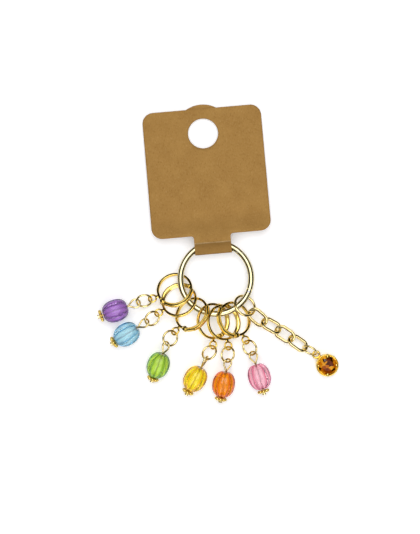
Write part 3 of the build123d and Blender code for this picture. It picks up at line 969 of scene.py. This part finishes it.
def prong(angle, top):
    """A bar that starts on the rim, arches as a sine over the stone's edge and tapers to its tip."""
    out = np.array([np.cos(angle), np.sin(angle), 0])
    steps = np.linspace(0, 1, prong_rows)[:, None]
    reach = cup_diameter / 2 - prong_inset - steps
    height = top - prong_seat + prong_arch * np.sin(steps * pi * 0.8)
    line = [cup_reach, 0, 0] + out * reach + UP * height
    taper = np.linspace(1, 0.6, prong_rows)[:, None, None]
    section = superellipse(prong_thickness, prong_width, 3, 16)[:, ::-1]
    return shell(carried(line, section * taper, UP))


def cup_shells():
    """Cup wall and floor as one spun outline, then the prongs and the loop."""
    outer, inner = cup_diameter / 2, cup_diameter / 2 - cup_wall
    top, bottom = cup_height - cup_drop, -cup_drop
    rim = cup_wall / 2
    bend = np.linspace(0, pi, 9)
    rim_points = np.stack([outer - rim + rim * np.cos(bend), top - rim + rim * np.sin(bend)], axis=-1)
    turn = np.linspace(-pi / 2, 0, 7)
    foot_points = np.stack([outer - foot_radius + foot_radius * np.cos(turn),
                            bottom + foot_radius + foot_radius * np.sin(turn)], axis=-1)
    outline = np.vstack([[[axis_gap, bottom]], foot_points, rim_points, [[inner, bottom + cup_floor]],
                         [[axis_gap, bottom + cup_floor]]])
    cup = shell(turned(outline, 72) + [cup_reach, 0, 0], True)
    prongs = [prong(2 * pi / prong_count * (corner + 0.5), top) for corner in range(prong_count)]
    loop = wire_ring(charm_loop_radius, 44, superellipse(charm_loop_wire, charm_loop_wire, 2, 18))
    return [cup, *prongs, shell(loop, True)]


charm_matrix = charm_place()
build("charm_setting", placed(cup_shells(), charm_matrix), "charm_cup", "charm", yellow_gold)
print("cup made; its loop is at, in mm:", charm_matrix[:3, 3].round(2))

# %% [markdown]
# ## Cut stone
# The stone is pressed glass with a table, a crown and a pointed back, cut in facets. A cone with few
# sides would show long stripes. Here each row of corners is turned by half a step from the row above,
# and the triangles between two rows are the kites of a round cut. Flat shading keeps them crisp.

# %% Stone surface
stone_radius = 3.45
stone_corners = 10
girdle_height = 1.232
crown_height = 1.035
table_radius = 2.0
culet_radius = 0.15
stone_back = cup_floor - cup_drop + 0.1
stone_rows = [           # reach, height and turn in steps, from the table down
    (table_radius, girdle_height + crown_height, 0.0),
    (stone_radius * 0.82, girdle_height + crown_height * 0.55, 0.5),
    (stone_radius, girdle_height + 0.05, 0.0),
    (stone_radius, girdle_height - 0.12, 0.0),
    (stone_radius * 0.55, (girdle_height + stone_back) / 2, 0.5),
    (culet_radius, stone_back, 0.0),
]


def stone_points():
    """All rows at once: x = r cos(a), y = r sin(a), with a = (corner + turn) steps."""
    reach, height, twist = (column[:, None] for column in np.array(stone_rows).T)
    angle = (np.arange(stone_corners) + twist) * 2 * pi / stone_corners
    return np.stack([reach * np.cos(angle) + cup_reach, reach * np.sin(angle),
                     np.broadcast_to(height, angle.shape)], axis=-1)


def stone_shells():
    """Triangles between the rows, a flat table and a tiny flat at the back."""
    twists = [row[2] for row in stone_rows]
    here = np.arange(stone_corners)
    ahead = np.roll(here, -1)
    faces = []
    for row in range(len(stone_rows) - 1):
        top, low = row * stone_corners, (row + 1) * stone_corners
        if twists[row] == twists[row + 1]:
            bands = [[top + here, top + ahead, low + ahead, low + here]]
        elif twists[row] < twists[row + 1]:
            bands = [[top + here, top + ahead, low + here], [top + ahead, low + ahead, low + here]]
        else:
            bands = [[top + here, low + ahead, low + here], [top + here, top + ahead, low + ahead]]
        for band in bands:
            faces += np.stack(band, axis=-1).tolist()
    faces.append(here[::-1].tolist())
    faces.append((here + (len(stone_rows) - 1) * stone_corners).tolist())
    return [(stone_points().reshape(-1, 3), faces)]


print("the stone has", len(stone_shells()[0][1]), "facets")

# %% [markdown]
# ## Foiled glass
# A mirror foil behind amber glass throws the light back as bright orange and dark brown facets, each in a
# tone of its own. Clear glass over a mirror would need many bounces to show that at this size. Cells of one
# tone each, about as large as a facet, show the same broken light at once as painted reflections.

# %% Stone finish
facet_size = 1.2
# amber glass colour with painted reflections of the foil, from dark brown to bright orange
amber_and_reflection_tones = [(0.25, "2C1000"), (0.42, "8A3800"), (0.55, "D06A00"), (0.75, "FFB020")]


def cut_stone(name):
    """Amber-coloured cut glass with a foiled back: little light goes in, the rest is thrown back as painted
    reflections.
    """
    material, tree, shader, where = plain_material(name)
    cells = add(tree, "ShaderNodeTexVoronoi", {"Vector": where, "Scale": 1 / (facet_size * MM)})
    tree.links.new(ramp(tree, cells.outputs["Color"], amber_and_reflection_tones), shader.inputs["Base Color"])
    shader.inputs["Roughness"].default_value = 0.04
    shader.inputs["IOR"].default_value = 1.5
    shader.inputs["Transmission Weight"].default_value = 0.15
    return material


build("charm_brilliant", placed(stone_shells(), charm_matrix), "charm_stone", "charm",
      cut_stone("foiled amber glass"), smooth=False)
print("stone made,", 2 * stone_radius, "mm across")

# %% [markdown]
# ## Hang card
# One die-cut sheet of kraft card wraps the holder ring's wire. It is flat behind and falls in a gentle
# curve in front, from the crease over the wire to where both layers are glued. Bending a flat sheet with
# modifiers would make its folds hard to place, so the height of each layer is a formula along y.

# %% Card sizes and heights
card_thickness = 0.35
card_width = 43.6
card_corner = 4.0
neck_half = 6.7
neck_fillet = 1.0
spine_y = 9.167          # where the sheet passes down through the ring
flap_y = spine_y + 0.3
wire_top = 1.575
crease_y = 13.1
bend_y = 23.9            # the layers are glued together from here on
panel_start = 15.9
panel_end = 62.5
hole_y = 53.4
hole_radius = 5.5
ear_radius = 10.7
back_fall = 0.0395
layer_gap = 0.4003
card_crest = wire_top + 0.25


def back_height(y):
    """Height of the middle of the back layer: a straight fall."""
    return -wire_top - (y - spine_y) * back_fall


def front_height(y):
    """Height of the middle of the front layer: it eases by 3s^2 - 2s^3 from crest to glued part."""
    share = np.clip((y - crease_y) / (bend_y - crease_y), 0, 1)
    ease = share * share * (3 - 2 * share)
    glued = back_height(np.maximum(y, bend_y)) + layer_gap
    return card_crest + (glued - card_crest) * ease


print("height of the card's far edge, in mm:", round(float(back_height(panel_end)), 2))

# %% [markdown]
# ## Card outlines
# The front is a panel with rounded corners and a neck, and the back a strip that ends in a round ear.
# Filling an outline with a hole in it gives long thin triangles that shade badly on a bent sheet. But
# every point of both outlines can be seen from the hole, so each layer is drawn as rays from the hole's
# edge outwards, and the same grid runs back underneath it.


# %% Outlines seen from the hole
def rounded(x, y, reach, start, end, count=14):
    """Corner arc of an outline."""
    return arc(reach, start, end, count)[:, :2] + [x, y]


def front_outline():
    """Panel with rounded corners and its neck down to the crease, from the hole's middle."""
    side, r, fillet = card_width / 2 - card_corner, card_corner, neck_fillet
    points = np.vstack([
        rounded(side, panel_end - r, r, 0, 90), rounded(-side, panel_end - r, r, 90, 180),
        rounded(-side, panel_start + r, r, 180, 270),
        rounded(-neck_half - fillet, panel_start - fillet, fillet, 90, 0, 6),
        [[-neck_half, crease_y], [neck_half, crease_y]],
        rounded(neck_half + fillet, panel_start - fillet, fillet, 180, 90, 6),
        rounded(side, panel_start + r, r, 270, 360),
    ])
    return points - [0, hole_y]


def back_outline():
    """The strip behind the panel with its round ear, from the hole's middle."""
    angle = np.degrees(np.arcsin(neck_half / ear_radius))
    ear = rounded(0, hole_y, ear_radius, angle - 90, 270 - angle, 60)
    return np.vstack([ear, [[-neck_half, flap_y], [neck_half, flap_y]]]) - [0, hole_y]


def ray_reach(outline, angles):
    """Distance from the hole's middle to a closed outline along each ray: every ray is crossed with
    every edge, t = (p x e) / (d x e), and the farthest hit is kept."""
    tiny = 1e-12
    edge = np.roll(outline, -1, axis=0) - outline
    ray = np.stack([np.cos(angles), np.sin(angles)], axis=-1)
    cross = ray[:, None, 0] * edge[:, 1] - ray[:, None, 1] * edge[:, 0]
    cross = np.where(np.abs(cross) < tiny, tiny, cross)
    along = (outline[:, 0] * edge[:, 1] - outline[:, 1] * edge[:, 0]) / cross
    share = (outline[:, 0] * ray[:, None, 1] - outline[:, 1] * ray[:, None, 0]) / cross
    hit = (along > 0) & (share > -1e-9) & (share < 1 + 1e-9)
    return np.where(hit, along, 0).max(axis=1)


print("corners of the front outline:", len(front_outline()), "and of the back:", len(back_outline()))

# %% [markdown]
# ## Card layers and wrap
# Between the layers the sheet turns round the wire with two soft folds. A sharp corner would catch a
# hard line of light, and card never folds that sharply, so each corner of the line is rounded by a
# quadratic curve and the sheet's section is carried along it.

# %% Layers, wrap and finished card
card_rays, card_rows = 640, 26
fold_reach = 0.22


def card_layer(outline, height):
    """Closed layer of card round the hole: rows from the hole's edge to the outline on top, then back
    underneath, so that both edges are part of the same surface."""
    angles = np.linspace(-pi, pi, card_rays, endpoint=False)
    corners = np.arctan2(outline[:, 1], outline[:, 0])
    angles = np.sort(np.concatenate([angles, corners]))
    reach = ray_reach(outline, angles)
    distance = hole_radius + (reach[:, None] - hole_radius) * np.linspace(0, 1, card_rows)
    x = distance * np.cos(angles)[:, None]
    y = distance * np.sin(angles)[:, None] + hole_y
    z = height(y)
    top = np.stack([x, y, z + card_thickness / 2], axis=-1)
    under = np.stack([x, y, z - card_thickness / 2], axis=-1)[:, ::-1]
    return shell(np.concatenate([top, under], axis=1), True)


def wrap_line():
    """Middle of the sheet round the wire in the YZ plane: from the crease over the wire, down through
    the ring and back under it, with (1-t)^2 a + 2t(1-t) b + t^2 c at each corner."""
    corners = np.array([[crease_y, card_crest], [spine_y, wire_top], [spine_y, -wire_top],
                        [flap_y, back_height(flap_y)]])
    t = np.linspace(0, 1, 7)[:, None]
    line = [corners[:1]]
    for before, corner, after in zip(corners, corners[1:], corners[2:]):
        into, out = corner - before, after - corner
        step = min(fold_reach, np.linalg.norm(into) / 2, np.linalg.norm(out) / 2)
        start, end = corner - unit(into) * step, corner + unit(out) * step
        line.append((1 - t) ** 2 * start + 2 * t * (1 - t) * corner + t**2 * end)
    line = np.vstack(line + [corners[-1:]])
    return np.column_stack([np.zeros(len(line)), line])


def card_shells():
    """Front layer, back layer and the wrap between them."""
    section = superellipse(card_thickness, 2 * neck_half, 40, 40)
    wrap = carried(wrap_line(), section, np.array([1.0, 0, 0]))
    return [card_layer(front_outline(), front_height), card_layer(back_outline(), back_height), shell(wrap)]


card_parts = card_shells()
print("points of the card's layers and wrap:", [len(points) for points, faces in card_parts])

# %% [markdown]
# ## Kraft card
# Kraft card is pressed from unbleached pulp: brown, matt and never even. A scanned paper would bring its
# light with it, so the tone is mixed from three noises, each with the size of a real thing: the pulp's
# clouds, its grain, and its fibres, which lie mostly one way. The crease is paler along its line, and the
# wrapped part below it is painted darker, as shade, because it turns away from the light.

# %% Kraft card
cloud_size = 6.0
grain_size = 0.8         # the felt's mark is near 0.3 mm, drawn coarser so that it still shows
fibre_size = 0.35        # fibres are near 0.03 mm thick, drawn coarser so that they still show
speck_share, fibre_share, fold_shade = 0.5, 0.4, 0.45
crease_half_width = 0.22


def mixed(tree, share, first, second):
    """Two colours mixed by a share."""
    node = add(tree, "ShaderNodeMix", {"Factor": share, "A": first, "B": second}, data_type="RGBA")
    return node.outputs["Result"]


def kraft_card(name):
    """Recycled brown card: a mottled pulp, short darker and paler fibres, and a soft matt surface."""
    material, tree, shader, where = plain_material(name)
    grain = noise(tree, where, grain_size, 5.0)
    stretched = add(tree, "ShaderNodeMapping", {"Vector": where, "Scale": (1.0, 0.45, 1.0),
                                                "Rotation": (0, 0, radians(8))}).outputs["Vector"]
    pulp = ramp(tree, noise(tree, where, cloud_size, 5.0), [(0.35, "9C7238"), (0.65, "B68C4C")])
    specks = ramp(tree, grain, [(0.28, "8C6530"), (0.45, "A98043"), (0.62, "AD8547"), (0.78, "C09E60")])
    streaks = ramp(tree, noise(tree, stretched, fibre_size, 2.0), [
        (0.30, "8A612C"), (0.42, "A98043"), (0.60, "A98043"), (0.75, "C2A166"),
    ])
    tone = mixed(tree, fibre_share, mixed(tree, speck_share, pulp, specks), streaks)
    along = add(tree, "ShaderNodeSeparateXYZ", {"Vector": where}).outputs["Y"]
    # painted shade: the wrapped part below the crease is darkened
    below = add(tree, "ShaderNodeMath", {0: along, 1: crease_y * MM}, operation="LESS_THAN")
    shaded = add(tree, "ShaderNodeMath", {0: below.outputs[0], 1: fold_shade}, operation="MULTIPLY")
    crease = add(tree, "ShaderNodeMath", {0: along, 1: crease_y * MM, 2: crease_half_width * MM},
                 operation="COMPARE")
    # paler along the crease line, broken up by the grain
    pale_crease = add(tree, "ShaderNodeMath", {0: crease.outputs[0], 1: grain}, operation="MULTIPLY")
    tone = mixed(tree, shaded.outputs[0], tone, colour("8A6530"))
    tone = mixed(tree, pale_crease.outputs[0], tone, colour("D8B886"))
    bump = add(tree, "ShaderNodeBump", {"Height": grain, "Strength": 0.4, "Distance": 0.05 * MM})
    tree.links.new(tone, shader.inputs["Base Color"])
    tree.links.new(bump.outputs["Normal"], shader.inputs["Normal"])
    shader.inputs["Roughness"].default_value = 0.85
    shader.inputs["Specular IOR Level"].default_value = 0.25
    return material


build("hang_card", card_parts, "tag_card", "tag", kraft_card("die-cut kraft card"))
# the glue takes the acrylic's facing mix, so its edges are painted a little paler, as sheen
dress("tag_adhesive", clear_acrylic("dry clear glue", "D8D2BC", "E6E2D0"))
print("card and glue finished")
